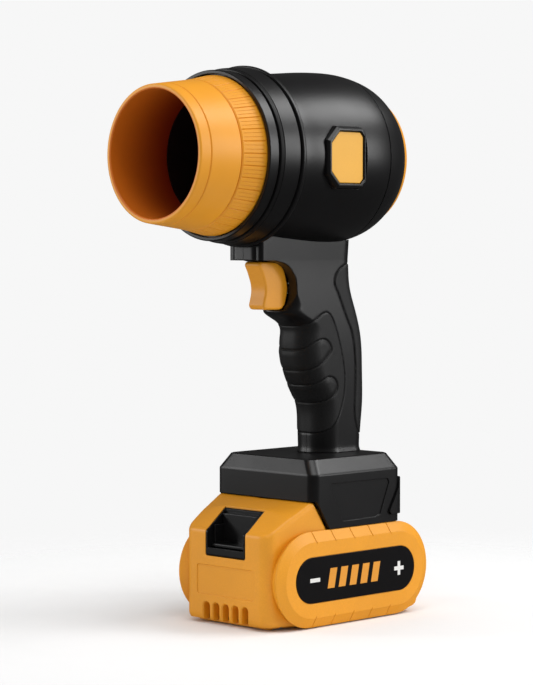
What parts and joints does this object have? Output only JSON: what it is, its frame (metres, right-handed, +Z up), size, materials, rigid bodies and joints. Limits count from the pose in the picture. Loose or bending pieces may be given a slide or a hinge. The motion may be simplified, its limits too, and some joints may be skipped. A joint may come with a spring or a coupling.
{
  "type": "leaf blower",
  "caption": "Handheld cordless turbo blower: round fan barrel with a bayonet nozzle, pistol grip with trigger, and a slide-on battery pack it stands on.",
  "frame": {"origin": "centre of the middle pad under the battery pack, on the plane of symmetry, at the centre of the foot", "axes": "+Z up, -Y the way the nozzle blows, +X the tool's left-hand side as its user holds it"},
  "size_m": [0.1086, 0.193, 0.3363],
  "materials": {
    "orange_plastic": "satin",
    "deep_orange_plastic": "satin",
    "black_plastic": "satin",
    "black_rubber": "matte",
    "label_black": "gloss",
    "steel": "machined",
    "copper": "satin",
    "cell_sleeve": "wrapped in plastic film",
    "circuit_board": "solder mask"
  },
  "bodies": {
    "blower_body": {"collar_ring": "black_plastic", "rear_shell": "black_plastic", "rear_guard_ring": "orange_plastic", "rear_guard": "black_plastic", "duct_sleeve": "black_plastic", "stator_duct": "black_plastic", "tail_cone": "deep_orange_plastic", "motor_case": "steel", "bearing_front": "steel", "bearing_rear": "steel", "casing_right": "black_plastic", "casing_left": "black_plastic", "grip_front_rubber": "black_rubber", "grip_rear_rubber": "black_rubber", "case_screw_1": "steel", "case_screw_2": "steel", "case_screw_3": "steel", "case_screw_4": "steel", "badge_frame_right": "black_plastic", "badge_frame_left": "black_plastic", "badge_plate_right": "orange_plastic", "badge_plate_left": "orange_plastic", "motor_lead": "black_rubber", "switch_lead": "black_rubber", "switch_module": "black_plastic", "foot_housing": "black_plastic", "foot_rear_band": "black_plastic", "terminal_block": "black_plastic", "blade_positive": "copper", "blade_negative": "copper", "controller_board": "circuit_board"},
    "trigger": {"trigger": "orange_plastic", "trigger_spring": "steel"},
    "impeller": {"impeller": "black_plastic", "spinner_cone": "deep_orange_plastic", "motor_shaft": "steel", "rotor": "copper"},
    "nozzle": {"nozzle": "orange_plastic", "twist_ring": "orange_plastic"},
    "battery": {"battery_case": "orange_plastic", "battery_base": "orange_plastic", "base_screw_1": "steel", "base_screw_2": "steel", "base_screw_3": "steel", "base_screw_4": "steel", "side_panel_right": "orange_plastic", "side_panel_left": "orange_plastic", "label_right": "label_black", "label_left": "label_black", "cell_pair_1": "cell_sleeve", "cell_pair_2": "cell_sleeve", "cell_pair_3": "cell_sleeve", "cell_pair_4": "cell_sleeve", "cell_pair_5": "cell_sleeve", "bms_board": "circuit_board", "contact_clip_positive": "copper", "contact_clip_negative": "copper", "latch_bezel": "black_plastic"},
    "latch_button": {"latch_button": "black_plastic", "latch_spring": "steel"}
  },
  "joints": [
    {"name": "trigger_squeeze", "type": "slide", "parent": "blower_body", "child": "trigger", "axis": [0, 1, 0], "range_m": [0, 0.0055], "stiffness_N_per_m": 900, "springref_m": -0.003, "deforming": ["trigger_spring"]},
    {"name": "impeller_spin", "type": "hinge", "parent": "blower_body", "child": "impeller", "pos_m": [0, 0, 0.282], "axis": [0, 1, 0], "continuous": true},
    {"name": "nozzle_twist", "type": "hinge", "parent": "blower_body", "child": "nozzle", "pos_m": [0, 0, 0.282], "axis": [0, -1, 0], "range_deg": [0, 30]},
    {"name": "battery_slide", "type": "slide", "parent": "blower_body", "child": "battery", "axis": [0, -1, 0], "range_m": [0, 0.075]},
    {"name": "latch_press", "type": "slide", "parent": "battery", "child": "latch_button", "axis": [0, 0, -1], "range_m": [0, 0.0035], "stiffness_N_per_m": 1500, "springref_m": -0.002, "deforming": ["latch_spring"]}
  ]
}
